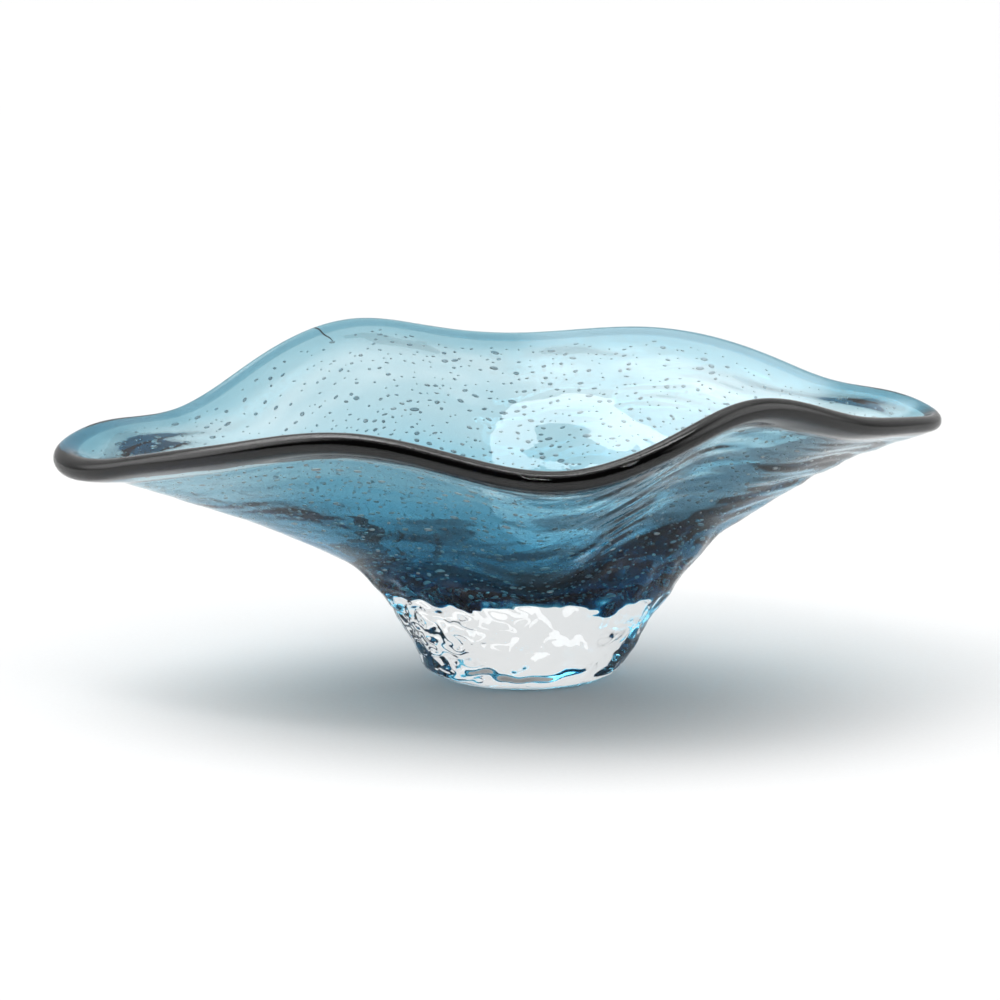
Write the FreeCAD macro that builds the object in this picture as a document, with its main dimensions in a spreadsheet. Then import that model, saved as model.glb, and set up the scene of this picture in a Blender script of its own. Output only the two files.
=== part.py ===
"""Free-form art glass bowl, in millimetres.

The bowl is blown in four gathers that are fused hot:
  colour_layer  the smoke-blue cup that holds the bubbles
  clear_casing  the clear overlay on the outside of the cup
  lip_bead      the fire-polished bead that closes both layers at the rim
  clear_foot    the heavy clear gather under the cup, ground flat to stand on

+X runs along the bowl, towards the pointed right end, +Y to the rear, +Z up.
The origin is the centre of the ground face under the foot.
"""
import FreeCAD, Part
import math
import os

V = FreeCAD.Vector

# Rim stations, anticlockwise seen from above: a name, then where the bead's centre line is,
# along as a share of bowl_reach, across as a share of bowl_half_depth and up as a share of
# bowl_crest, and how full the bead is there, as a share of lip_radius.
RIM = [
    ("right_tip", 0.902, 0.105, 0.820, 0.95),
    ("right_rear", 0.828, 0.263, 0.847, 0.90),
    ("right_heel", 0.697, 0.474, 0.853, 0.90),
    ("rear_right_slope", 0.582, 0.638, 0.900, 0.90),
    ("rear_right_crest", 0.295, 0.914, 0.965, 0.90),
    ("rear_dip", -0.016, 0.993, 0.932, 0.90),
    ("rear_left_fall", -0.213, 0.967, 0.959, 0.90),
    ("rear_left_crest", -0.377, 0.888, 1.000, 0.90),
    ("rear_left_slope", -0.602, 0.658, 0.903, 0.90),
    ("left_heel", -0.787, 0.375, 0.764, 1.00),
    ("left_tip_rear", -0.955, 0.059, 0.761, 1.25),
    ("left_tip", -1.000, -0.145, 0.720, 1.45),
    ("left_tip_front", -0.955, -0.283, 0.711, 1.40),
    ("left_front", -0.832, -0.480, 0.755, 1.15),
    ("front_left_slope", -0.615, -0.711, 0.835, 1.15),
    ("front_left_crest", -0.377, -0.842, 0.891, 1.15),
    ("front_left_fall", -0.172, -0.934, 0.853, 1.15),
    ("front_dip", 0.074, -1.000, 0.802, 1.15),
    ("front_right_rise", 0.320, -0.888, 0.903, 1.15),
    ("front_right_crest", 0.459, -0.743, 0.971, 1.20),
    ("right_front", 0.689, -0.441, 0.876, 1.15),
    ("right_tip_front", 0.848, -0.145, 0.826, 1.00),
]

# Every other driving size: alias, value, what it is.
SIZES = [
    ("bowl_reach", 244.0, "from the foot's centre along to the left tip"),
    ("bowl_half_depth", 152.0, "from the foot's centre across to the front dip"),
    ("bowl_crest", 169.5, "height of the rim's highest crest"),
    ("lip_radius", 4.6, "radius of the fire-polished bead where its fullness is 1"),
    ("colour_at_rim", 3.0, "blue layer where it enters the bead"),
    ("colour_at_well", 4.5, "blue layer at the floor of the cup"),
    ("casing_at_rim", 2.6, "clear overlay where it enters the bead"),
    ("casing_at_well", 4.5, "clear overlay under the floor of the cup"),
    ("well_radius", 36.0, "flat floor inside the cup"),
    ("well_floor", 56.0, "height of that floor above the table"),
    ("belly_share", 0.21, "how far out the floor stays level, as a share of the way to the rim"),
    ("flare_reach", 0.50, "where the wall turns from rising to flaring, outwards"),
    ("flare_rise", 0.67, "where the wall turns from rising to flaring, upwards"),
    ("base_along", 50.0, "half length of the foot at the table, before its edge is rounded"),
    ("base_across", 46.0, "half depth there"),
    ("waist_height", 28.0, "foot at its middle"),
    ("waist_along", 67.0, "half length there"),
    ("waist_across", 55.0, "half depth there"),
    ("neck_below_floor", 9.0, "foot where it starts to spread under the cup"),
    ("neck_along", 80.0, "half length there"),
    ("neck_across", 60.0, "half depth there"),
    ("lap_above_floor", 9.0, "foot where it laps on to the casing"),
    ("lap_along", 95.0, "half length there"),
    ("lap_across", 64.0, "half depth there"),
    ("gather_above_floor", 48.0, "top of the gather before the cup is set in it"),
    ("gather_along", 109.0, "half length there"),
    ("gather_across", 70.0, "half depth there"),
    ("foot_edge", 12.0, "rounding of the foot's lower edge"),
]

STATIONS_ROUND = 96  # poles of each wall surface around the rim
ROWS_UP = 14  # poles of each wall surface from the floor to the rim
BEAD_POLES = 12  # poles around the bead's section


# ---------------------------------------------------------------- document and sheet
doc = FreeCAD.newDocument("ArtGlassBowl")
sheet = doc.addObject("Spreadsheet::Sheet", "Sizes")


def write_cell(row, alias, value, note):
    sheet.set("A%d" % row, alias)
    sheet.set("B%d" % row, str(value))
    sheet.setAlias("B%d" % row, alias)
    sheet.set("C%d" % row, note)


def fill_sheet():
    row = 1
    for alias, value, note in SIZES:
        write_cell(row, alias, value, note)
        row += 1
    for station in RIM:
        for word, value in zip(("along", "across", "height", "fullness"), station[1:]):
            write_cell(row, "%s_%s" % (station[0], word), value, "rim station, a share")
            row += 1


fill_sheet()
doc.recompute()


def size(alias):
    """A driving size as the sheet holds it."""
    return float(sheet.get(alias))


# ---------------------------------------------------------------- shape of the wall
def station_point(name):
    x = size(name + "_along") * size("bowl_reach")
    y = size(name + "_across") * size("bowl_half_depth")
    return V(x, y, size(name + "_height") * size("bowl_crest"))


def station_points():
    return [station_point(station[0]) for station in RIM]


def rim_curve():
    """The bead's centre line: one closed smooth curve through the stations."""
    curve = Part.BSplineCurve()
    curve.interpolate(Points=station_points(), PeriodicFlag=True)
    return curve


def fullness_at(parameter, curve, marks):
    """The bead's fullness at a parameter of the centre line, eased between two stations."""
    values = [size(station[0] + "_fullness") for station in RIM]
    marks = marks + [curve.LastParameter]
    for i in range(len(RIM)):
        if parameter <= marks[i + 1] or i == len(RIM) - 1:
            share = (parameter - marks[i]) / (marks[i + 1] - marks[i])
            share = share * share * (3 - 2 * share)
            return values[i] + (values[(i + 1) % len(RIM)] - values[i]) * share


def rim_samples():
    """Points on the centre line, evenly spaced along it, and the bead's radius at each."""
    curve = rim_curve()
    first = curve.FirstParameter
    step = curve.length() / STATIONS_ROUND
    marks = [first] + [curve.parameter(point) for point in station_points()[1:]]
    parameters = [curve.parameterAtDistance(step * i, first) for i in range(STATIONS_ROUND)]
    points = [curve.value(u) for u in parameters]
    radii = [size("lip_radius") * fullness_at(u, curve, marks) for u in parameters]
    return points, radii


def bezier(t, a, b, c, d):
    """A cubic from a to d with handles b and c."""
    s = 1.0 - t
    return s * s * s * a + 3 * s * s * t * b + 3 * s * t * t * c + t * t * t * d


def wall_thickness(t):
    rim = size("colour_at_rim") + size("casing_at_rim")
    well = size("colour_at_well") + size("casing_at_well")
    return well + (rim - well) * t


def colour_thickness(t):
    return size("colour_at_well") + (size("colour_at_rim") - size("colour_at_well")) * t


def middle_point(rim, t):
    """A point of the wall's middle surface, t from 0 at the flat floor to 1 at the bead."""
    well, belly = size("well_radius"), size("belly_share")
    reach = math.hypot(rim.x, rim.y)
    floor = size("well_floor") - wall_thickness(0) / 2
    out = reach - well
    radius = bezier(t, well, well + belly * out, well + size("flare_reach") * out, reach)
    up = rim.z - floor
    height = bezier(t, floor, floor, floor + size("flare_rise") * up, rim.z)
    return V(rim.x / reach * radius, rim.y / reach * radius, height)


def wall_grid(rims):
    """Middle points and unit normals, [around][up]. The normals point into the bowl."""
    ts = [i / (ROWS_UP - 1.0) for i in range(ROWS_UP)]
    middle = [[middle_point(rim, t) for t in ts] for rim in rims]
    count = len(rims)
    normals = []
    for i in range(count):
        column = []
        for j in range(ROWS_UP):
            around = middle[(i + 1) % count][j] - middle[i - 1][j]
            up = middle[i][min(j + 1, ROWS_UP - 1)] - middle[i][max(j - 1, 0)]
            if j == 0:
                up = V(middle[i][0].x, middle[i][0].y, 0)
            normal = up.cross(around)
            normal.normalize()
            if normal.z < 0:
                normal = normal * -1
            column.append(normal)
        normals.append(column)
    return ts, middle, normals


def clamped_knots(poles, degree=3):
    """Knots and multiplicities of an open clamped spline."""
    inner = poles - degree
    knots = [float(i) for i in range(inner + 1)]
    mults = [degree + 1] + [1] * (inner - 1) + [degree + 1]
    return knots, mults


def ring_knots(poles):
    """Knots and multiplicities of a closed periodic spline."""
    return [float(i) for i in range(poles + 1)], [1] * (poles + 1)


def wall_surface(ts, middle, normals, offset):
    """The surface that lies offset(t) from the middle one, inwards if positive."""
    poles = [
        [m + n * offset(t) for t, m, n in zip(ts, column, normal_column)]
        for column, normal_column in zip(middle, normals)
    ]
    u_knots, u_mults = ring_knots(len(poles))
    v_knots, v_mults = clamped_knots(len(ts))
    surface = Part.BSplineSurface()
    surface.buildFromPolesMultsKnots(
        poles, u_mults, v_mults, u_knots, v_knots, True, False, 3, 3
    )
    return surface


def floor_disc(surface):
    """The flat disc that closes a wall surface at the floor."""
    _, _, low, _ = surface.bounds()
    return Part.Face(Part.Wire([surface.vIso(low).toShape()]))


def edge_band(surface_a, surface_b):
    """The ruled band between the top edges of two wall surfaces."""
    high = surface_a.bounds()[3]
    return Part.makeRuledSurface(surface_a.vIso(high).toShape(), surface_b.vIso(high).toShape())


def shell_between(surface_a, surface_b):
    """The solid between two wall surfaces, with its flat floor."""
    faces = [surface_a.toShape(), surface_b.toShape()]
    faces += [floor_disc(surface_a), floor_disc(surface_b)]
    faces += edge_band(surface_a, surface_b).Faces
    shell = Part.makeShell(faces)
    shell.sewShape()
    solid = Part.makeSolid(shell)
    if solid.Volume < 0:
        solid.reverse()
    return solid


def bead_solid(middle, normals, radii):
    """A round bead along the wall's top edge."""
    turn = 2 * math.pi / BEAD_POLES
    # A uniform cubic ring of poles gives a circle this much smaller than the poles' own.
    pole_share = 6 / (4 + 2 * math.cos(turn))
    count = len(middle)
    poles = []
    for i in range(count):
        along = middle[(i + 1) % count][-1] - middle[i - 1][-1]
        along.normalize()
        inward = normals[i][-1]
        outward = along.cross(inward)
        outward.normalize()
        inward = outward.cross(along)
        ring = [inward * math.cos(turn * k) + outward * math.sin(turn * k) for k in range(BEAD_POLES)]
        poles.append([middle[i][-1] + spoke * radii[i] * pole_share for spoke in ring])
    u_knots, u_mults = ring_knots(count)
    v_knots, v_mults = ring_knots(BEAD_POLES)
    surface = Part.BSplineSurface()
    surface.buildFromPolesMultsKnots(
        poles, u_mults, v_mults, u_knots, v_knots, True, True, 3, 3
    )
    solid = Part.makeSolid(Part.makeShell([surface.toShape()]))
    if solid.Volume < 0:
        solid.reverse()
    return solid


def add_shape(name, shape):
    """A plain feature for a free-form shape that no sketch can hold."""
    feature = doc.addObject("Part::Feature", name)
    feature.Shape = shape
    feature.Placement = FreeCAD.Placement()
    return feature


# ---------------------------------------------------------------- free-form blanks
rim, lip_radii = rim_samples()
heights, middle, normals = wall_grid(rim)
inner_surface = wall_surface(heights, middle, normals, lambda t: wall_thickness(t) / 2)
joint_surface = wall_surface(
    heights, middle, normals, lambda t: wall_thickness(t) / 2 - colour_thickness(t)
)
outer_surface = wall_surface(heights, middle, normals, lambda t: -wall_thickness(t) / 2)

lip_bead = add_shape("lip_bead", bead_solid(middle, normals, lip_radii))
colour_blank = add_shape("colour_blank", shell_between(inner_surface, joint_surface))
casing_blank = add_shape("casing_blank", shell_between(joint_surface, outer_surface))


# ---------------------------------------------------------------- layers, trimmed by the bead
def cut(name, base, tool):
    feature = doc.addObject("Part::Cut", name)
    feature.Base = base
    feature.Tool = tool
    return feature


colour_layer = cut("colour_layer", colour_blank, lip_bead)
clear_casing = cut("clear_casing", casing_blank, lip_bead)


# ---------------------------------------------------------------- foot
# Level sections of the foot gather, from the table up: the name of its sizes, then its height.
FOOT_LEVELS = [
    ("base", "0"),
    ("waist", "Sizes.waist_height"),
    ("neck", "Sizes.well_floor - Sizes.neck_below_floor"),
    ("lap", "Sizes.well_floor + Sizes.lap_above_floor"),
    ("gather", "Sizes.well_floor + Sizes.gather_above_floor"),
]


def oval(level, height):
    """A level oval section of the foot, longer along the bowl than across it."""
    section = doc.addObject("Part::Ellipse", "foot_" + level)
    section.setExpression("MajorRadius", "Sizes.%s_along" % level)
    section.setExpression("MinorRadius", "Sizes.%s_across" % level)
    section.setExpression("Placement.Base.z", height)
    return section


def ground_edge(shape):
    """The number of the edge round the face that the bowl stands on."""
    for number, edge in enumerate(shape.Edges, 1):
        if edge.BoundBox.ZMax < 1e-6:
            return number
    raise RuntimeError("the foot has no ground edge")


def foot_blank():
    """The foot gather: a smooth loft through its oval sections, its lower edge rounded."""
    loft = doc.addObject("Part::Loft", "foot_gather")
    loft.Sections = [oval(level, height) for level, height in FOOT_LEVELS]
    loft.Solid = True
    doc.recompute()
    rounded = doc.addObject("Part::Fillet", "foot_rounded")
    rounded.Base = loft
    radius = size("foot_edge")
    rounded.Edges = [(ground_edge(loft.Shape), radius, radius)]
    return rounded


def cup_stamp():
    """The space above the casing's underside, which the cup takes out of the foot."""
    shell = Part.makeShell([outer_surface.toShape(), floor_disc(outer_surface)])
    under = add_shape("casing_underside", shell)
    stamp = doc.addObject("Part::Extrusion", "cup_stamp")
    stamp.Base = under
    stamp.DirMode = "Custom"
    stamp.Dir = V(0, 0, 1)
    stamp.setExpression("LengthFwd", "Sizes.well_floor + Sizes.gather_above_floor")
    stamp.Solid = False
    return stamp


clear_foot = cut("clear_foot", foot_blank(), cup_stamp())
doc.recompute()


# ---------------------------------------------------------------- checks and export
def check_document():
    for item in doc.Objects:
        bad = [word for word in item.State if word in ("Invalid", "Error")]
        if bad:
            raise RuntimeError("%s is %s" % (item.Label, bad))


def export(features):
    os.makedirs("parts", exist_ok=True)
    for feature in features:
        shape = feature.Shape
        if shape.isNull() or not shape.isValid():
            raise RuntimeError("%s has no valid shape" % feature.Label)
        if len(shape.Solids) != 1:
            raise RuntimeError("%s has %d solids" % (feature.Label, len(shape.Solids)))
        shape.exportStep(os.path.join("parts", feature.Label + ".step"))
        box = shape.BoundBox
        spans = (box.XMin, box.XMax, box.YMin, box.YMax, box.ZMin, box.ZMax)
        line = "%-14s %8.1f cm3" % (feature.Label, shape.Volume / 1000)
        print(line + "  x %.1f..%.1f  y %.1f..%.1f  z %.1f..%.1f" % spans)


check_document()
export([colour_layer, clear_casing, lip_bead, clear_foot])
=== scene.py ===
import math
import random
import bpy
import numpy as np
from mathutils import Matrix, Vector, noise
from mathutils.bvhtree import BVHTree


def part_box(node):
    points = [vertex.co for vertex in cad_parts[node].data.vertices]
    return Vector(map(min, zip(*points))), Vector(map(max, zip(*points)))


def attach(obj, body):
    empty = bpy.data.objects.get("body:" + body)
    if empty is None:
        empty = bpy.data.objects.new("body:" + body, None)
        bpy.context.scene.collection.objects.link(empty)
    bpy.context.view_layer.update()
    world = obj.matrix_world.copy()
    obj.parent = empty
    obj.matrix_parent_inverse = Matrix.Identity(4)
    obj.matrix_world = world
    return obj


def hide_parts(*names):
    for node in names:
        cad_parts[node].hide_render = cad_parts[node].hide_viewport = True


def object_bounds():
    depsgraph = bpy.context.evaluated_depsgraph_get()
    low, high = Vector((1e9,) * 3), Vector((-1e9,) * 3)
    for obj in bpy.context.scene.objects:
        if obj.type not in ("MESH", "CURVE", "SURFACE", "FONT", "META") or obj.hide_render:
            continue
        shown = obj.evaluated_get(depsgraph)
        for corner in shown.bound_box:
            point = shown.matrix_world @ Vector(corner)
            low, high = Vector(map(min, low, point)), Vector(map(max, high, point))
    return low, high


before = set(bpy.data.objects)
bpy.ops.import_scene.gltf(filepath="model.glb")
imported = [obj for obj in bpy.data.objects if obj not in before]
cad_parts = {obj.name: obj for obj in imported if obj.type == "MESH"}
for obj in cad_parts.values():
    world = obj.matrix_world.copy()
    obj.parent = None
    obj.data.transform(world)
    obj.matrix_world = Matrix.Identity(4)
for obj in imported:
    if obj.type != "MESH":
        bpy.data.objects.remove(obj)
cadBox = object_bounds()
mm = 0.001
print("frame loaded:", ", ".join(sorted(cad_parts)))


# shader maths: a socket that adds nodes when it is used in an expression
class Sock:
    def __init__(self, tree, socket):
        self.tree = tree
        self.socket = socket

    def node(self, kind, settings=None, **values):
        made = self.tree.nodes.new(kind)
        for name, value in (settings or {}).items():
            setattr(made, name, value)
        for name, value in values.items():
            # i0, i1 and so on are sockets by number, anything else is a socket's name
            plug = int(name[1:]) if name[0] == "i" and name[1:].isdigit() else name.replace("_", " ")
            if isinstance(value, Sock):
                self.tree.links.new(value.socket, made.inputs[plug])
            else:
                made.inputs[plug].default_value = value
        return made

    def out(self, kind, settings=None, port=0, **values):
        return Sock(self.tree, self.node(kind, settings, **values).outputs[port])

    def maths(self, operation, *values):
        plugs = {"i%d" % i: value for i, value in enumerate(values)}
        return self.out("ShaderNodeMath", {"operation": operation}, **plugs)

    def __add__(self, other):
        return self.maths("ADD", self, other)

    def __radd__(self, other):
        return self.maths("ADD", other, self)

    def __sub__(self, other):
        return self.maths("SUBTRACT", self, other)

    def __rsub__(self, other):
        return self.maths("SUBTRACT", other, self)

    def __mul__(self, other):
        return self.maths("MULTIPLY", self, other)

    def __rmul__(self, other):
        return self.maths("MULTIPLY", other, self)

    def __truediv__(self, other):
        return self.maths("DIVIDE", self, other)

    def __rtruediv__(self, other):
        return self.maths("DIVIDE", other, self)

    def power(self, exponent):
        return self.maths("POWER", self, exponent)

    def between(self, low, high):
        smooth = {"interpolation_type": "SMOOTHSTEP"}
        return self.out("ShaderNodeMapRange", smooth, Value=self, From_Min=low, From_Max=high)

    def blendColours(self, first, second):
        return self.out("ShaderNodeMix", {"data_type": "RGBA"}, port=2, i0=self, i6=first, i7=second)


def treeOf(node):
    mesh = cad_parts[node].data
    return BVHTree.FromPolygons([v.co for v in mesh.vertices], [p.vertices for p in mesh.polygons])


def castAlong(tree, origins, direction):
    # distance to the first hit, or nan
    way = Vector(direction)
    reach = np.full(len(origins), np.nan)
    for i, origin in enumerate(origins):
        hit = tree.ray_cast(Vector(origin), way)
        if hit[0] is not None:
            reach[i] = hit[3]
    return reach


def smoothRound(values, passes):
    for _ in range(passes):
        values = (np.roll(values, 1, 0) + 2 * values + np.roll(values, -1, 0)) / 4
    return values


def smoothGrid(values, passes):
    for _ in range(passes):
        values = (np.roll(values, 1, 0) + 2 * values + np.roll(values, -1, 0)) / 4
        inner = (values[:, :-2] + 2 * values[:, 1:-1] + values[:, 2:]) / 4
        values = np.concatenate([values[:, :1], inner, values[:, -1:]], 1)
    return values


def unit(vectors):
    return vectors / np.maximum(np.linalg.norm(vectors, axis=-1, keepdims=True), 1e-12)


def ease(t):
    t = np.clip(t, 0, 1)
    return t * t * (3 - 2 * t)


columnDials = {
    "round": 640,  # columns round the bowl, evenly spaced along the rim
    "up": 120,  # samples of the wall from its centre to the rim
    "rimSearch": 17 * mm,  # how far each side of the rim the bead is looked for
    "rimCoarse": 2 * mm,  # step of the first look for it
    "rimFine": 0.7 * mm,  # and of the next ones
    "nearest": 60 * mm,  # the rim is looked for between these two reaches
    "farthest": 280 * mm,
    "clearOf": 300 * mm,  # far enough from the bowl to cast towards it
}


def readRim():
    # centre line and radius of the lip bead, from its sections at even bearings
    dials = columnDials
    tree = treeOf("lip_bead")
    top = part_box("lip_bead")[1].z + 20 * mm
    bearings = np.arange(dials["round"]) * 2 * math.pi / dials["round"]
    ways = np.stack([np.cos(bearings), np.sin(bearings)], 1)
    centres, areas = [], []
    guess = None
    for way in ways:
        if guess is None:
            tries = np.arange(dials["nearest"], dials["farthest"], dials["rimCoarse"])
        else:
            tries = np.arange(guess - dials["rimSearch"], guess + dials["rimSearch"], dials["rimFine"])
        step = tries[1] - tries[0]
        above = [(way[0] * r, way[1] * r, top) for r in tries]
        below = [(way[0] * r, way[1] * r, 0) for r in tries]
        high = top - castAlong(tree, above, (0, 0, -1))
        low = castAlong(tree, below, (0, 0, 1))
        chord = np.nan_to_num(high - low)
        middle = np.nan_to_num((high + low) / 2)
        guess = (tries * chord).sum() / chord.sum()
        level = (middle * chord).sum() / chord.sum()
        centres.append((way[0] * guess, way[1] * guess, level))
        areas.append(chord.sum() * step)
    centres = smoothRound(np.array(centres), 3)
    areas = smoothRound(np.array(areas), 3)
    along = unit(np.roll(centres, -1, 0) - np.roll(centres, 1, 0))
    across = np.stack([-ways[:, 1], ways[:, 0], np.zeros(len(ways))], 1)
    radii = np.sqrt(areas * np.abs((along * across).sum(1)) / math.pi)
    return spreadEvenly(centres, radii)


def spreadEvenly(centres, radii):
    closed = np.concatenate([centres, centres[:1]])
    gone = np.concatenate([[0], np.cumsum(np.linalg.norm(np.diff(closed, axis=0), axis=1))])
    wanted = np.arange(len(centres)) * gone[-1] / len(centres)
    even = np.stack([np.interp(wanted, gone, closed[:, k]) for k in range(3)], 1)
    return smoothRound(even, 2), smoothRound(np.interp(wanted, gone, np.append(radii, radii[0])), 6)


rim, beadRadius = readRim()
rimReach = np.linalg.norm(rim[:, :2], axis=1)
bearing = rim[:, :2] / rimReach[:, None]
print("rim read: bead radius %.1f to %.1f mm" % (beadRadius.min() / mm, beadRadius.max() / mm))


def readWall():
    # the wall's middle surface, its normals into the bowl and its half thickness, [column, centre to rim]
    insideTree, outsideTree = treeOf("colour_layer"), treeOf("clear_casing")
    top = columnDials["clearOf"]
    count, rows = len(rim), columnDials["up"] + 1
    share = np.linspace(0, 1, rows)
    share[0] = 0.004
    middle = np.zeros((count, rows, 3))
    half = np.zeros((count, rows))
    for i in range(count):
        reach = share * rimReach[i]
        flat = bearing[i][None] * reach[:, None]
        high = top - castAlong(insideTree, [(x, y, top) for x, y in flat], (0, 0, -1))
        low = castAlong(outsideTree, [(x, y, 0) for x, y in flat], (0, 0, 1))
        good = np.isfinite(high) & np.isfinite(low) & (reach < rimReach[i] - 1.6 * beadRadius[i])
        known, levels = np.append(reach[good], rimReach[i]), np.append((high + low)[good] / 2, rim[i, 2])
        level = np.interp(reach, known, levels)
        middle[i, :, :2] = flat
        middle[i, :, 2] = level
        half[i] = np.interp(reach, reach[good], (high - low)[good] / 2)
    middle[:, :, 2] = smoothGrid(middle[:, :, 2], 4)
    middle[:, -1] = rim
    around = np.roll(middle, -1, 0) - np.roll(middle, 1, 0)
    outward = np.gradient(middle, axis=1)
    normals = unit(np.cross(outward, around))
    normals *= np.sign(normals[:, :, 2:3])
    flatShare = ease((np.linalg.norm(middle[:, :, :2], axis=2) - 4 * mm) / (10 * mm))[:, :, None]
    normals = unit(normals * flatShare + np.array([0, 0, 1.0]) * (1 - flatShare))
    normals = unit(smoothGrid(normals, 2))
    half = smoothGrid(half * normals[:, :, 2], 4)
    return middle, normals, half


wallMiddle, wallNormal, wallHalf = readWall()
stepDown = np.linalg.norm(np.diff(wallMiddle, axis=1), axis=2)
fromRim = np.concatenate([np.cumsum(stepDown[:, ::-1], 1)[:, ::-1], np.zeros((len(rim), 1))], 1)
wallLength = fromRim[:, 0]
outOfRim = unit(wallMiddle[:, -1] - wallMiddle[:, -4])
rimNormal = unit(wallNormal[:, -2] - (wallNormal[:, -2] * outOfRim).sum(1, keepdims=True) * outOfRim)
print("wall read: half thickness %.1f to %.1f mm" % (wallHalf.min() / mm, wallHalf.max() / mm))


def pick(field, down):
    # field at distances down the wall from the rim, [column, row]
    result = np.zeros(down.shape + field.shape[2:])
    for i in range(len(down)):
        known = fromRim[i, ::-1]
        if field.ndim == 2:
            result[i] = np.interp(down[i], known, field[i, ::-1])
        else:
            for k in range(field.shape[2]):
                result[i, :, k] = np.interp(down[i], known, field[i, ::-1, k])
    return result


wallDials = {
    "rows": 96,  # rows of quads down each side of the wall
    "lipRows": 8,  # rows round each quarter of the lip
    "lipRun": 3.4,  # lip radii over which the lip tapers into the wall in front
    "rearLipRun": 7.5,  # and at the rear
    "underRows": 17,  # rows of the joint under the cup
    "baseRings": 12,  # rings of the ground face
}
frontness = ease((20 * mm - rim[:, 1]) / (75 * mm))


def wallRows(rows, lipRows):
    # distance down from the rim's centre line: the lip's round top is negative
    turn = np.linspace(math.pi / 2, 0, lipRows, endpoint=False)
    top = -np.sin(turn)[None] * beadRadius[:, None]
    share = np.linspace(0, 1, rows) ** 1.25
    return np.concatenate([top, share[None] * wallLength[:, None]], 1)


def wallFrame(down):
    # middle of the wall and its normal; a negative distance is in the lip's round top
    normal = pick(wallNormal, np.maximum(down, 0))
    inLip = 1 - ease(down / (2 * beadRadius[:, None]))
    normal = unit(normal + (rimNormal[:, None] - normal) * inLip[..., None])
    return pick(wallMiddle, np.maximum(down, 0)) + outOfRim[:, None] * np.maximum(-down, 0)[..., None], normal


def sideOfWall(down, side):
    # points on one side of the wall and the normals there
    radius = beadRadius[:, None]
    thin = pick(wallHalf, np.maximum(down, 0))
    run = wallDials["rearLipRun"] + (wallDials["lipRun"] - wallDials["rearLipRun"]) * frontness[:, None]
    taper = 1 - ease(down / (run * radius))
    half = np.where(down < 0, np.sqrt(np.maximum(radius**2 - down**2, 0)), thin + (radius - thin) * taper)
    middle, normal = wallFrame(down)
    return middle + normal * (side * half)[..., None], normal


def noiseOver(points, stretch, seed, octaves=2):
    # smooth noise at each point, stretched by metres along each axis
    flat = (points / np.array(stretch) + seed).reshape(-1, 3)
    values = [noise.fractal(Vector(p), 0.9, 2.1, octaves) for p in flat]
    return np.array(values).reshape(points.shape[:-1])


def bowlNoise(points, along, down, drop, seed, octaves=2):
    # streaks that run round the bowl: long in the round direction, short down the wall
    flat = points[..., :2]
    reach = np.linalg.norm(flat, axis=-1, keepdims=True)
    way = flat / np.maximum(reach, 1e-6) * 0.2
    return noiseOver(np.concatenate([way, drop[..., None]], -1), (along, along, down), seed, octaves)


rippleDials = {
    "outerStreak": 1.1 * mm,  # height of the long tool marks outside
    "calmStreak": 0.3,  # share of them left on the calm side
    "outerSwell": 2.0 * mm,  # height of the broad waves outside
    "innerStreak": 0.2 * mm,
    "innerSwell": 1.2 * mm,
    "streakLong": 95 * mm,
    "streakShort": 15 * mm,
    "swell": 55 * mm,
    "lipWave": 0.1 * mm,  # how uneven the lip's polished skin is
}


def rippled(points, normals, side, down):
    dials = rippleDials
    streak, swell = dials["innerStreak"], dials["innerSwell"]
    if side < 0:
        streak, swell = dials["outerStreak"], dials["outerSwell"]
    reach = np.linalg.norm(points[..., :2], axis=-1)
    calm = ease(down / (4 * beadRadius[:, None])) * ease((reach - 12 * mm) / (45 * mm))
    wander = noiseOver(points, (0.12, 0.12, 0.12), 3.7 + side) * 14 * mm
    busy = dials["calmStreak"] + (1 - dials["calmStreak"]) * ease((points[..., 0] + 20 * mm) / (90 * mm))
    marks = bowlNoise(points, dials["streakLong"], dials["streakShort"], down + wander, 11.3 + side)
    rise = streak * busy * marks + swell * noiseOver(points, (dials["swell"],) * 3, 5.1 + side, 1)
    lip = dials["lipWave"] * noiseOver(points, (30 * mm,) * 3, 8.2, 1) * (1 - calm)
    return points + normals * (side * (rise * calm + lip))[..., None]


footDials = {
    "levels": 110,  # heights at which the foot's side is read
    "top": 100 * mm,  # the highest of them
    "least": 25 * mm,  # a reach shorter than this is inside the foot
    "rows": 70,  # rows of quads down the foot's side
    "lump": 2.6 * mm,  # height of the big lumps
    "lumpSize": 27 * mm,
    "fold": 0.7 * mm,  # height of the smaller folds
    "foldSize": 19 * mm,
    "calmFold": 0.45,  # share of the folds left on the calm side
    "footMelt": 16,  # passes that melt the corner between cup and foot
}


def readFoot():
    # how far the foot's side reaches at each height, [column, height]
    tree = treeOf("clear_foot")
    away = columnDials["clearOf"]
    levels = np.linspace(0.3 * mm, footDials["top"], footDials["levels"])
    reach = np.zeros((len(rim), len(levels)))
    for i, way in enumerate(bearing):
        outside = [(way[0] * away, way[1] * away, z) for z in levels]
        side = away - castAlong(tree, outside, (-way[0], -way[1], 0))
        good = np.flatnonzero(np.isfinite(side) & (side > footDials["least"]))
        last = good[np.flatnonzero(np.diff(np.append(good, 9999)) > 1)[0]]  # end of the unbroken run up
        slope = (side[last] - side[last - 4]) / (levels[last] - levels[last - 4])
        beyond = side[last] + slope * (levels - levels[last])
        reach[i] = np.where(np.arange(len(levels)) <= last, side, beyond)
    return levels, smoothRound(reach, 2)


footLevels, footReach = readFoot()


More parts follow.
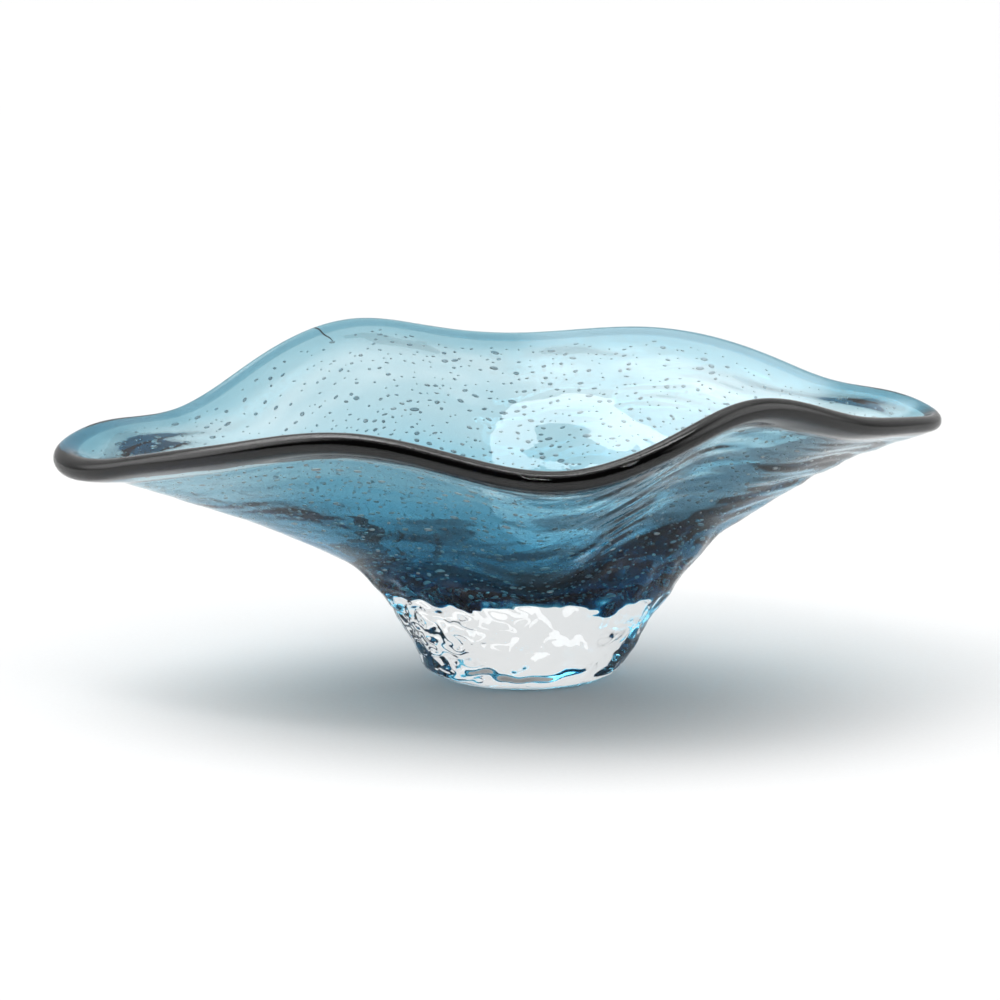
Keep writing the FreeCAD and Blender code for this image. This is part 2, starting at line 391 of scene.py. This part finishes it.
def findJoint():
    # distance down the outside of the wall at which it runs into the foot
    share = np.linspace(0.05, 0.98, 200)
    down = share[None] * wallLength[:, None]
    outer, _ = sideOfWall(down, -1)
    reach = np.linalg.norm(outer[..., :2], axis=-1)
    joint = np.zeros(len(rim))
    for i in range(len(rim)):
        gap = reach[i] - np.interp(outer[i, :, 2], footLevels, footReach[i])
        j = int(np.argmax(gap < 0))
        joint[i] = down[i, j - 1] + (down[i, j] - down[i, j - 1]) * gap[j - 1] / (gap[j - 1] - gap[j])
    return smoothRound(joint, 12)


jointDown = findJoint()
print("foot read: joint %.0f to %.0f mm down the wall" % (jointDown.min() / mm, jointDown.max() / mm))


def footProfile(joint):
    # the foot's side from the joint down to the table, [column, row]
    rows = footDials["rows"]
    side = np.zeros((len(rim), rows, 3))
    for i in range(len(rim)):
        start = joint[i]
        startReach = np.linalg.norm(start[:2])
        z = np.linspace(start[2], 0, 260)
        r = np.interp(z, footLevels, footReach[i])
        r = r + (startReach - r[0]) * np.exp(-(start[2] - z) / (8 * mm))
        gone = np.concatenate([[0], np.cumsum(np.hypot(np.diff(r), np.diff(z)))])
        even = np.linspace(0, gone[-1], rows + 1)[1:]
        reach = np.interp(even, gone, r)
        flat = start[:2] / startReach
        flat = flat[None] + (bearing[i] - flat)[None] * ease(np.linspace(0, 1, rows))[:, None]
        side[i, :, :2] = flat * reach[:, None]
        side[i, :, 2] = np.interp(even, gone, z)
    return side


def lumpy(side):
    around = np.roll(side, -1, 0) - np.roll(side, 1, 0)
    normals = unit(np.cross(around, -np.gradient(side, axis=1)))
    outward = (normals[..., :2] * side[..., :2]).sum(-1)
    normals *= np.sign(outward)[..., None]
    rows = side.shape[1]
    fromTop = ease(np.arange(rows) / (rows * 0.12))[None]
    nearTable = ease(side[..., 2] / (7 * mm))
    dials = footDials
    lump = dials["lump"] * noiseOver(side, (dials["lumpSize"],) * 3, 21.0, 2)
    folds = noiseOver(side, (dials["foldSize"], dials["foldSize"], dials["foldSize"] * 0.75), 31.0, 2)
    wild = dials["calmFold"] + (1 - dials["calmFold"]) * ease((15 * mm - side[..., 0]) / (35 * mm))
    folds = dials["fold"] * wild * (1 - 3 * np.sqrt(folds ** 2 + 0.01))
    return side + normals * ((lump + folds) * fromTop * nearTable)[..., None]


def buildShell(name, rings, materials, bands=None):
    # rings run from one pole to the other, or round to the first; bands gives each gap's material
    points, starts, faces, kinds = [], [], [], []
    for ring in rings:
        starts.append(sum(len(p) for p in points))
        points.append(np.atleast_2d(ring))
    count = len(rings[len(rings) // 2])
    for k in range(len(rings) - 1):
        a, b = starts[k], starts[k + 1]
        kind = bands[k] if bands else 0
        for i in range(count):
            j = (i + 1) % count
            if len(points[k]) == 1:
                faces.append((a, b + j, b + i))
            elif len(points[k + 1]) == 1:
                faces.append((a + i, a + j, b))
            else:
                faces.append((a + i, a + j, b + j, b + i))
            kinds.append(kind)
    return finishMesh(name, np.concatenate(points), faces, materials, kinds)


def signedVolume(mesh):
    mesh.calc_loop_triangles()
    corners = np.zeros(len(mesh.loop_triangles) * 3, np.int32)
    mesh.loop_triangles.foreach_get("vertices", corners)
    places = np.zeros(len(mesh.vertices) * 3)
    mesh.vertices.foreach_get("co", places)
    a, b, c = places.reshape(-1, 3)[corners.reshape(-1, 3)].transpose(1, 0, 2)
    return (a * np.cross(b, c)).sum() / 6


def sharpenSeams(mesh, kinds):
    # shading breaks where a seen surface turns into a fused joint
    sides = np.repeat(np.array(kinds), [len(p.vertices) for p in mesh.polygons])
    edges = np.zeros(len(mesh.loops), np.int32)
    mesh.loops.foreach_get("edge_index", edges)
    low, high = np.full(len(mesh.edges), 9), np.full(len(mesh.edges), -1)
    np.minimum.at(low, edges, sides)
    np.maximum.at(high, edges, sides)
    mesh.attributes.new("sharp_edge", "BOOLEAN", "EDGE").data.foreach_set("value", low != high)


def finishMesh(name, points, faces, materials, kinds=None, hollow=False):
    mesh = bpy.data.meshes.new(name)
    mesh.from_pydata(points.tolist(), [], faces)
    for material in materials:
        mesh.materials.append(material)
    if kinds and max(kinds):
        mesh.polygons.foreach_set("material_index", kinds)
        sharpenSeams(mesh, kinds)
    mesh.polygons.foreach_set("use_smooth", [True] * len(mesh.polygons))
    if (signedVolume(mesh) < 0) != hollow:
        mesh.flip_normals()
    mesh.update()
    piece = bpy.data.objects.new(name, mesh)
    bpy.context.scene.collection.objects.link(piece)
    return piece


def newMaterial(name):
    material = bpy.data.materials.new(name)
    material.use_nodes = True
    material.node_tree.nodes.clear()
    return material, Sock(material.node_tree, None)


def finishMaterial(tree, surface, volume=None):
    output = tree.node("ShaderNodeOutputMaterial")
    tree.tree.links.new(surface.socket, output.inputs["Surface"])
    if volume:
        tree.tree.links.new(volume.socket, output.inputs["Volume"])


def metres(tree):
    return tree.out("ShaderNodeTexCoord", port=3)


def glass(name, dials, tintOf=None):
    material, tree = newMaterial(name)
    place = metres(tree)
    cloud = tree.out("ShaderNodeTexNoise", Vector=place, Scale=dials["cloudScale"], Detail=3.0)
    tint = cloud.between(0.35, 0.65).blendColours(dials["tint"], dials["deepTint"])
    if tintOf:
        tint = tintOf(tree, place, tint, dials)
    smudge = tree.out("ShaderNodeTexNoise", Vector=place, Scale=dials["smudgeScale"], Detail=4.0)
    wobble = tree.out("ShaderNodeTexNoise", Vector=place, Scale=dials["wobbleScale"], Detail=2.0)
    bump = tree.out("ShaderNodeBump", Height=wobble, Strength=dials["wobble"], Distance=dials["wobbleHeight"])
    surface = tree.out(
        "ShaderNodeBsdfPrincipled", Base_Color=tint, Roughness=smudge.between(0.55, 0.8) * dials["roughness"],
        Normal=bump, IOR=dials["ior"], Transmission_Weight=dials["clarity"])
    volume = None
    if "absorb" in dials:
        volume = tree.out("ShaderNodeVolumeAbsorption", Color=dials["absorb"], Density=dials["density"])
    finishMaterial(tree, surface, volume)
    return material


def blueTintAndPaintedShade(tree, place, tint, dials):
    # the colour is densest low in the cup, partly the glass's own colour and partly painted shade; dark
    # swirls lie in the front of it, painted shade on the front side only
    parts = tree.node("ShaderNodeSeparateXYZ", Vector=place)
    x, y, height = [Sock(tree.tree, parts.outputs[k]) for k in range(3)]
    stretched = tree.out("ShaderNodeMapping", Vector=place, Scale=(7.0, 7.0, 34.0))
    levelNoise = tree.out("ShaderNodeTexNoise", Vector=stretched, Scale=1.0, Detail=4.0, Distortion=0.6)
    level = height + (levelNoise - 0.5) * dials["denseEdgeSpread"]
    low = 1 - level.between(dials["denseBelow"], dials["lightAbove"])
    tint = low.blendColours(tint, dials["denseTint"])
    turned = tree.out("ShaderNodeMapping", Vector=place, Rotation=(0.0, -0.45, 0.0), Scale=(6.5, 9.0, 42.0))
    bend = tree.out("ShaderNodeTexNoise", Vector=place, Scale=9.0, Detail=2.0)
    swirl = tree.out(
        "ShaderNodeTexNoise", {"noise_dimensions": "4D"}, Vector=turned, W=bend * 1.6, Scale=1.0, Detail=3.0,
        Distortion=1.1)
    # painted shade: dark swirls, masked below to the front of the cup
    edge = dials["swirlAt"] - x * dials["swirlRight"]
    dark = (swirl - edge).between(0.0, dials["swirlEdge"]) * dials["swirl"]
    where = (1 - y.between(*dials["swirlBehind"])) * x.between(*dials["swirlLeft"])
    dark = tree.maths("MAXIMUM", dark, dials["swirlLeast"]) * where
    return dark.blendColours(tint, dials["swirlPaintedShade"])


def lipTint(tree, place, tint, dials):
    # nearly black in front and blue at the rear: painted shade, darker on the front side only; the brown
    # clouds in the dark are a painted reflection
    parts = tree.node("ShaderNodeSeparateXYZ", Vector=place)
    x, y = Sock(tree.tree, parts.outputs[0]), Sock(tree.tree, parts.outputs[1])
    patch = tree.out("ShaderNodeTexNoise", Vector=place, Scale=14.0, Detail=2.0)
    dark = patch.between(0.42, 0.62).blendColours(dials["paintedShadeTint"], dials["paintedBrownReflection"])
    behind = y - x * dials["darkLean"] + (patch - 0.5) * 0.02
    front = 1 - behind.between(dials["darkUpTo"] - 0.02, dials["darkUpTo"])
    return front.blendColours(tint, dark)


clearDials = {
    "tint": (0.97, 0.99, 1.0, 1), "deepTint": (0.92, 0.97, 0.985, 1), "cloudScale": 9.0,
    "smudgeScale": 60.0, "roughness": 0.012, "ior": 1.5, "clarity": 1.0,
    "wobbleScale": 120.0, "wobble": 0.2, "wobbleHeight": 0.25 * mm,
}
footGlassDials = dict(
    clearDials, tint=(0.99, 1.0, 1.0, 1), deepTint=(0.95, 0.98, 0.99, 1), wobbleScale=55.0, wobble=0.12)
blueDials = dict(
    clearDials, tint=(0.95, 0.965, 0.97, 1), deepTint=(0.88, 0.925, 0.935, 1), wobble=0.0, ior=1.0,
    absorb=(0.0, 0.50, 0.62, 1), density=166.0,
    # denser blue low in the cup: partly the glass's colour, partly painted shade
    denseTint=(0.46, 0.84, 0.97, 1), denseBelow=0.062, lightAbove=0.135, denseEdgeSpread=0.09,
    # painted shade: dark swirls, only in front
    swirlAt=0.52, swirlRight=1.0, swirlEdge=0.05, swirl=0.85, swirlLeast=0.22,
    swirlPaintedShade=(0.20, 0.225, 0.26, 1),
    swirlBehind=(-55 * mm, -10 * mm),  # the swirls fade out over this, going to the rear
    swirlLeft=(-200 * mm, -110 * mm))  # and over this, going to the left
lipDials = dict(
    # painted shade in front, with a painted brown reflection in it
    blueDials, absorb=(0.0, 0.5, 0.64, 1), density=105.0, paintedShadeTint=(0.004, 0.012, 0.034, 1),
    paintedBrownReflection=(0.05, 0.034, 0.03, 1), darkUpTo=0.006, darkLean=0.09)
# painted glint: clarity below one makes the seeds partly matt white
airDials = dict(
    clearDials, tint=(1, 1, 1, 1), deepTint=(0.97, 0.98, 1.0, 1), wobble=0.0, clarity=0.45, roughness=0.15)
closedFoldDials = dict(
    airDials, tint=(0.06, 0.07, 0.08, 1), deepTint=(0.03, 0.04, 0.05, 1), ior=1.0, clarity=1.0)


def fusedMaterial():
    # two gathers that are fused have nothing to see between them
    material, tree = newMaterial("fused_joint")
    finishMaterial(tree, tree.out("ShaderNodeBsdfTransparent"))
    return material


clearGlass = glass("clear_casing_glass", clearDials)
footGlass = glass("clear_foot_glass", footGlassDials)
# the blue layer's glass carries painted shade: denser low in the cup and dark swirls in front
blueGlass = glass("smoke_blue_glass", blueDials, blueTintAndPaintedShade)
# the lip's glass carries painted shade in front and a painted brown reflection
lipGlass = glass("dark_lip_glass", lipDials, lipTint)
# the seeds' glass is partly matt white, a painted glint
seedGlass = glass("trapped_air", airDials)
creaseGlass = glass("closed_fold", closedFoldDials)
fused = fusedMaterial()


def ringsOf(grid):
    return [grid[:, k] for k in range(grid.shape[1])]


def poleOf(grid):
    return grid[:, -1].mean(0)


def meltCorner(profile, corner):
    near = np.exp(-(((np.arange(profile.shape[1]) - corner) / 6.0) ** 2))[None, :, None]
    for _ in range(footDials["footMelt"]):
        average = profile.copy()
        average[:, 1:-1] = (profile[:, :-2] + profile[:, 2:]) / 2
        profile = profile + (average - profile) * near
    return profile


def makeCupAndFoot():
    # the two share the joint between them
    lipRows, rows = wallDials["lipRows"], wallDials["rows"]
    down = wallRows(rows, lipRows)
    inner, normals = sideOfWall(down, 1)
    inner = rippled(inner, normals, 1, down)
    share = np.linspace(0, 1, rows)
    outerDown = np.concatenate([down[:, :lipRows], share[None] * jointDown[:, None]], 1)
    outer, normals = sideOfWall(outerDown, -1)
    outer = rippled(outer, normals, -1, outerDown)
    outer[:, 0] = inner[:, 0]
    side = lumpy(footProfile(outer[:, -1]))
    corner = outer.shape[1] - 1
    profile = meltCorner(np.concatenate([outer, side], 1), corner)
    outer, side = profile[:, :corner + 1], profile[:, corner:]
    underShare = np.linspace(0, 1, wallDials["underRows"] + 1)[None, 1:]
    underDown = jointDown[:, None] + underShare * (wallLength - jointDown)[:, None]
    under, normals = sideOfWall(underDown, -1)
    under = under + (outer[:, -1:] - sideOfWall(jointDown[:, None], -1)[0]) * (1 - underShare)[..., None]
    cupRings = [poleOf(inner)] + ringsOf(inner)[::-1] + ringsOf(outer)[1:] + ringsOf(under) + [poleOf(under)]
    shown = inner.shape[1] + outer.shape[1] - 1
    cupBands = [0] * shown + [1] * (len(cupRings) - 1 - shown)
    cup = buildShell("clear_casing_skin", cupRings, [clearGlass, fused], cupBands)
    baseShare = np.linspace(1, 0, wallDials["baseRings"])[1:-1]
    base = side[:, -1:] * np.array([1, 1, 0.0]) * baseShare[None, :, None]
    footRings = [poleOf(under)] + ringsOf(under)[::-1] + ringsOf(side) + ringsOf(base) + [np.zeros(3)]
    joined = under.shape[1] + 1
    footBands = [1] * joined + [0] * (len(footRings) - 1 - joined)
    foot = buildShell("clear_foot_gather", footRings, [footGlass, fused], footBands)
    return cup, foot


casing, foot = makeCupAndFoot()
print("cup and foot made: %d and %d faces" % (len(casing.data.polygons), len(foot.data.polygons)))

colourDials = {
    "lining": 0.45 * mm,  # clear glass between the colour and the inside
    "share": 0.55,  # share of the wall that is colour
    "streak": 0.9 * mm,  # how much the colour's thickness comes and goes
    "rimShare": 0.3,  # how much more of the wall is colour at the rim
    "rimRun": 24 * mm,
    "deepShare": 0.35,  # and low in the cup, partly painted shade
    "keepClear": 1.5 * mm,  # clear glass always left outside it
    "intoFoot": 0.5 * mm,  # how far it sinks into the foot
    "tipGap": 1.0 * mm,  # clear glass over its top edge in the lip
    "lipLining": 0.55 * mm,  # how much more clear glass lines it in the lip
}


def makeColourLayer():
    dials = colourDials
    lipRows, rows = 6, 92
    turn = np.linspace(math.pi / 2, 0, lipRows, endpoint=False)
    top = -np.sin(turn)[None] * (beadRadius[:, None] - dials["tipGap"])
    below = (np.linspace(0, 1, rows) ** 1.2)[None] * wallLength[:, None]
    down = np.concatenate([top, below], 1)
    plain, normals = sideOfWall(down, 1)
    surface = rippled(plain, normals, 1, down)
    half = ((plain - pick(wallMiddle, np.maximum(down, 0))) * normals).sum(-1)
    inFoot = ease((down - jointDown[:, None] - 8 * mm) / (20 * mm))
    nearRim = 1 - ease(down / dials["rimRun"])
    # more colour low in the cup: partly the glass's colour, partly painted shade
    low = ease((down - 30 * mm) / (60 * mm))
    share = dials["share"] + dials["rimShare"] * nearRim + dials["deepShare"] * low
    streak = bowlNoise(surface, 55 * mm, 9 * mm, down + 9 * mm * noiseOver(surface, (0.09,) * 3, 2.0), 41.0)
    ends = ease(down / (10 * mm)) * ease((wallLength[:, None] - down) / (30 * mm))
    streak = streak * dials["streak"] * ends
    inLip = 1 - ease(down / (3 * beadRadius[:, None]))
    gap = np.minimum(dials["lining"] + dials["lipLining"] * inLip, half * 0.45)
    most = 2 * half - gap - dials["keepClear"] * ease(down / (12 * mm)) * (1 - inFoot) - 0.5 * mm
    thickness = np.minimum(2 * half * share - gap + streak, most) + dials["intoFoot"] * inFoot
    inner = surface - normals * gap[..., None]
    outer = inner - normals * np.maximum(thickness, 0.05 * mm)[..., None]
    outer[:, 0] = inner[:, 0]
    rings = [poleOf(inner)] + ringsOf(inner)[::-1] + ringsOf(outer)[1:] + [poleOf(outer)]
    return buildShell("blue_layer_and_painted_shade", rings, [blueGlass])


lipCoreDials = {
    # painted shade: the dark glass fills more of the lip in front and trails down the wall there, on the
    # front side only
    "front": 1.0,  # share of the lip that the dark glass fills in front
    "rear": 0.8,
    "clear": 0.35 * mm,  # clear glass over it
    "tail": (0.7, 2.3),  # how far it trails down the wall in front, in its own radii
}


def makeLipCore():
    dials = lipCoreDials
    turns = 28
    share = dials["rear"] + (dials["front"] - dials["rear"]) * frontness
    radius = (beadRadius - dials["clear"]) * share
    wander = 0.5 + 0.9 * noiseOver(rim, (38 * mm,) * 3, 15.5, 2)
    tail = (dials["tail"][0] + (dials["tail"][1] - dials["tail"][0]) * np.clip(wander, 0, 1)) * frontness
    tail = tail * ease((rim[:, 0] - cadBox[0][0] - 20 * mm) / (90 * mm))  # none at the left tip
    angle = np.arange(turns) * 2 * math.pi / turns
    lift = np.sin(angle)[None]
    down = -lift * radius[:, None] * (1 + tail[:, None] * (lift < 0) * np.abs(lift))
    middle, normal = wallFrame(down)
    narrow = 1 - 0.25 * (lift < 0) * np.abs(lift) * np.minimum(tail, 1)[:, None]
    width = np.cos(angle)[None] * radius[:, None] * narrow
    points = (middle + normal * width[..., None]).transpose(1, 0, 2).reshape(-1, 3)
    count = len(rim)
    faces = []
    for k in range(turns):
        a, b = k * count, ((k + 1) % turns) * count
        faces += [(a + i, a + (i + 1) % count, b + (i + 1) % count, b + i) for i in range(count)]
    return finishMesh("dark_lip_core", points, faces, [lipGlass])


colourLayer = makeColourLayer()
lipCore = makeLipCore()
print("colour layer and lip core made")

seedDials = {
    "count": 3000,
    "smallest": 0.34 * mm,  # half height of a seed
    "largest": 1.15 * mm,
    "stretch": (1.2, 2.8),  # how much longer than high
    "mostlySmall": 2.1,  # the higher, the fewer large seeds
    "tilt": 0.22,  # how far they stray from lying level, in radians
    "apart": 2.4 * mm,  # least room between two, beyond a seed's own half length
}


def makeSeeds():
    dials = seedDials
    dice = random.Random(17)
    bpy.ops.mesh.primitive_ico_sphere_add(subdivisions=2, radius=1)
    ball = bpy.context.object
    shape = np.array([v.co for v in ball.data.vertices])
    corners = [tuple(p.vertices) for p in ball.data.polygons]
    bpy.data.objects.remove(ball)
    places, faces, centres = [], [], []
    around = unit(np.roll(wallMiddle, -1, 0) - np.roll(wallMiddle, 1, 0))
    while len(places) < dials["count"]:
        i = dice.randrange(len(rim))
        down = beadRadius[i] * 1.6 + dice.random() ** 0.9 * (wallLength[i] - 40 * mm)
        if dice.random() > (wallLength[i] - down * 0.55) / wallLength[i]:
            continue
        share = dice.random() ** dials["mostlySmall"]
        size = dials["smallest"] + (dials["largest"] - dials["smallest"]) * share
        long = size * dice.uniform(*dials["stretch"])
        known = fromRim[i, ::-1]
        at = np.array([np.interp(down, known, wallMiddle[i, ::-1, k]) for k in range(3)])
        normal = np.array([np.interp(down, known, wallNormal[i, ::-1, k]) for k in range(3)])
        row = int(round(np.interp(down, known, np.arange(len(known))[::-1])))
        half = np.interp(down, known, wallHalf[i, ::-1])
        centre = at + normal * (half - 0.9 * mm - size) * dice.uniform(-0.75, 1.0)
        if centres and np.min(np.linalg.norm(np.array(centres) - centre, axis=1)) < long + dials["apart"]:
            continue
        centres.append(centre)
        way = around[i, row]
        lean = np.cross(normal, way)
        tilt = dice.gauss(0, dials["tilt"])
        way, lean = way * math.cos(tilt) + lean * math.sin(tilt), lean * math.cos(tilt) - way * math.sin(tilt)
        wide = size * dice.uniform(0.9, 1.25)
        start = len(places) * len(shape)
        seed = shape[:, :1] * way * long + shape[:, 1:2] * lean * wide + shape[:, 2:] * normal * size
        places.append(centre + seed)
        faces += [tuple(start + c for c in corner) for corner in corners]
    return finishMesh("trapped_seeds", np.concatenate(places), faces, [seedGlass], hollow=True)


creaseDials = {
    "at": 0.47,  # how far towards the left tip it is, at the rear
    "long": 15 * mm,
    "lean": 3 * mm,  # how far it slants to the right
    "radius": 0.55 * mm,
    "steps": 22,  # rings along it
    "turns": 8,  # points round it
}


def makeCrease():
    # a fold in the rear rim that closed on itself while hot
    dials = creaseDials
    rear = np.where(rim[:, 1] > 0, np.abs(rim[:, 0] - dials["at"] * cadBox[0][0]), 9.0)
    column, steps, turns = int(np.argmin(rear)), dials["steps"], dials["turns"]
    columnStep = np.linalg.norm(rim[1] - rim[0])
    rightward = np.sign(rim[column + 3, 0] - rim[column, 0])
    line, size = [], []
    for k in range(steps):
        share = k / (steps - 1)
        reach = -0.6 * beadRadius[column] + share * dials["long"]
        right = column + rightward * share * dials["lean"] / columnStep
        inner, normal = sideOfWall(np.full((len(rim), 1), reach), 1)
        i = int(right) % len(rim)
        line.append(inner[i, 0] - normal[i, 0] * (1.1 * mm + 0.3 * mm * math.sin(5 * share)))
        size.append(dials["radius"] * math.sin(math.pi * min(1, 0.25 + share * 0.75)) ** 0.7 + 0.02 * mm)
    line = np.array(line)
    for _ in range(4):
        line[1:-1] = (line[:-2] + line[2:]) / 2
    way = unit(np.gradient(line, axis=0))
    aside = unit(np.cross(way, (0, 0, 1.0)))
    up = np.cross(aside, way)
    rings = [line[0]]
    angle = np.arange(turns)[:, None] * 2 * math.pi / turns
    for k in range(steps):
        rings.append(line[k] + (aside[k] * np.cos(angle) + up[k] * np.sin(angle)) * size[k])
    rings.append(line[-1])
    return buildShell("rim_crease", rings, [creaseGlass])


crease = makeCrease()
seeds = makeSeeds()
print("seeds made: %d" % seedDials["count"])


def standFor(piece, slot, *nodes):
    # a piece rides on the bowl's one body and takes the place of these CAD nodes
    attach(piece, "root")
    if nodes:
        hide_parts(*nodes)


standFor(casing, "casing_glass", "clear_casing")
standFor(foot, "foot_glass", "clear_foot")
standFor(colourLayer, "smoke_blue_glass", "colour_layer")
standFor(lipCore, "lip_glass", "lip_bead")
standFor(seeds, "smoke_blue_glass")
standFor(crease, "lip_glass")


studioDials = {
    "floorHalf": 14.0,
    "floorColour": (0.42, 0.42, 0.42, 1),
    "floorGrain": (0.45, 0.45, 0.45, 1),
    "floorGlow": 0.34,  # light that the floor gives off itself, so that it reads as white
    "shade": 0.1,  # share of that glow left under the bowl and far in front: a painted shadow and painted shade
    "shadeSize": (0.21, 0.13, 0.08),  # half width, half depth and how far in front of the foot, of the painted shadow
    "frontFade": (-1.0, -0.32),  # the glow fades out over this, going to the front: painted shade
    "room": 0.04,  # light from every side
    "bounces": 48,
}
# soft lights by azimuth from straight behind the bowl turning right, elevation, half width and strength
softLights = {
    "backdrop": (0, 20, 70, 0.8),
    "overhead": (0, 90, 30, 1.0),
    "left_window": (-100, 30, 25, 2.3),
    "right_window": (105, 25, 25, 2.0),
    "high_lamp": (-65, 62, 19, 3.2),
}


def makeFloor():
    half = studioDials["floorHalf"]
    corners = np.array([(-half, -half, 0), (half, -half, 0), (half, half, 0), (-half, half, 0)])
    mesh = bpy.data.meshes.new("studio_floor")
    mesh.from_pydata(corners.tolist(), [], [(0, 1, 2, 3)])
    floor = bpy.data.objects.new("studio_floor", mesh)
    bpy.context.scene.collection.objects.link(floor)
    material, tree = newMaterial("glowing_sweep_painted_shadow")
    place = metres(tree)
    grain = tree.out("ShaderNodeTexNoise", Vector=place, Scale=400.0, Detail=2.0)
    colour = grain.blendColours(studioDials["floorColour"], studioDials["floorGrain"])
    parts = tree.node("ShaderNodeSeparateXYZ", Vector=place)
    x, y = Sock(tree.tree, parts.outputs[0]), Sock(tree.tree, parts.outputs[1])
    # painted shadow: the floor's glow drops in an oval under the bowl and fades towards the front
    wide, deep, ahead = studioDials["shadeSize"]
    span = ((x / wide).power(2.0) + ((y + ahead) / deep).power(2.0)).power(0.5)
    glow, shade = studioDials["floorGlow"], studioDials["shade"]
    front = y.between(*studioDials["frontFade"])
    light = (span.between(0.25, 1.3) * front).blendColours((glow * shade,) * 3 + (1,), (glow,) * 3 + (1,))
    finishMaterial(tree, tree.out(
        "ShaderNodeBsdfPrincipled", Base_Color=colour, Roughness=0.85, Specular_IOR_Level=0.2,
        Emission_Color=light, Emission_Strength=1.0))
    mesh.materials.append(material)


def skyWay(azimuth, elevation):
    side, lift = math.radians(azimuth), math.radians(elevation)
    return Vector((math.sin(side) * math.cos(lift), math.cos(side) * math.cos(lift), math.sin(lift)))


def makeWorld():
    world = bpy.data.worlds.new("studio")
    bpy.context.scene.world = world
    world.use_nodes = True
    world.node_tree.nodes.clear()
    tree = Sock(world.node_tree, None)
    way = tree.out("ShaderNodeTexCoord", port=0)
    level = studioDials["room"]
    for azimuth, elevation, half, strength in softLights.values():
        centre = skyWay(azimuth, elevation)
        towards = tree.out("ShaderNodeVectorMath", {"operation": "DOT_PRODUCT"}, port=1, i0=way, i1=centre)
        edge = math.cos(math.radians(half * 1.45)), math.cos(math.radians(half * 0.55))  # soft edge
        level = level + towards.between(*edge) * strength
    background = tree.out("ShaderNodeBackground", Color=(1, 1, 1, 1), Strength=level)
    output = tree.node("ShaderNodeOutputWorld")
    world.node_tree.links.new(background.socket, output.inputs["Surface"])


lampTarget = (0, -0.1, 0.15)
lamps = {  # where it hangs, its width and depth, and its power
    "lip_strip": ((-0.1, -0.3, 1.5), (1.4, 0.2), 4.5),
    "left_sparkle": ((-0.1, -1.35, 1.0), (0.16, 0.05), 1.1),
    "right_sparkle": ((0.5, -1.2, 1.0), (0.1, 0.05), 0.7),
}


def softbox(name, at, size, power):
    lamp = bpy.data.lights.new(name, "AREA")
    lamp.shape = "RECTANGLE"
    lamp.size, lamp.size_y = size
    lamp.energy = power
    holder = bpy.data.objects.new(name, lamp)
    holder.location = at
    holder.rotation_euler = (Vector(lampTarget) - Vector(at)).to_track_quat("-Z", "Y").to_euler()
    bpy.context.scene.collection.objects.link(holder)


cameraDials = {
    "aim": (-12.4 * mm, 0, 94.8 * mm),
    "elevation": 12.0,
    "distance": 1.7,
    "lens": 113.6,
}


def makeCamera():
    eye = cameraDials
    lift = math.radians(eye["elevation"])
    back = Vector((0, -math.cos(lift), math.sin(lift)))
    data = bpy.data.cameras.new("studio_camera")
    data.lens = eye["lens"]
    data.sensor_width = 36
    camera = bpy.data.objects.new("studio_camera", data)
    camera.location = Vector(eye["aim"]) + back * eye["distance"]
    camera.rotation_euler = (-back).to_track_quat("-Z", "Y").to_euler()
    bpy.context.scene.collection.objects.link(camera)
    bpy.context.scene.camera = camera


makeFloor()
makeWorld()
for lampName, (at, size, power) in lamps.items():
    softbox(lampName, at, size, power)
makeCamera()
cycles = bpy.context.scene.cycles
cycles.max_bounces = cycles.transmission_bounces = studioDials["bounces"]
cycles.transparent_max_bounces = studioDials["bounces"]
cycles.glossy_bounces = 16
bpy.context.scene.view_settings.view_transform = "Standard"
print("studio made")
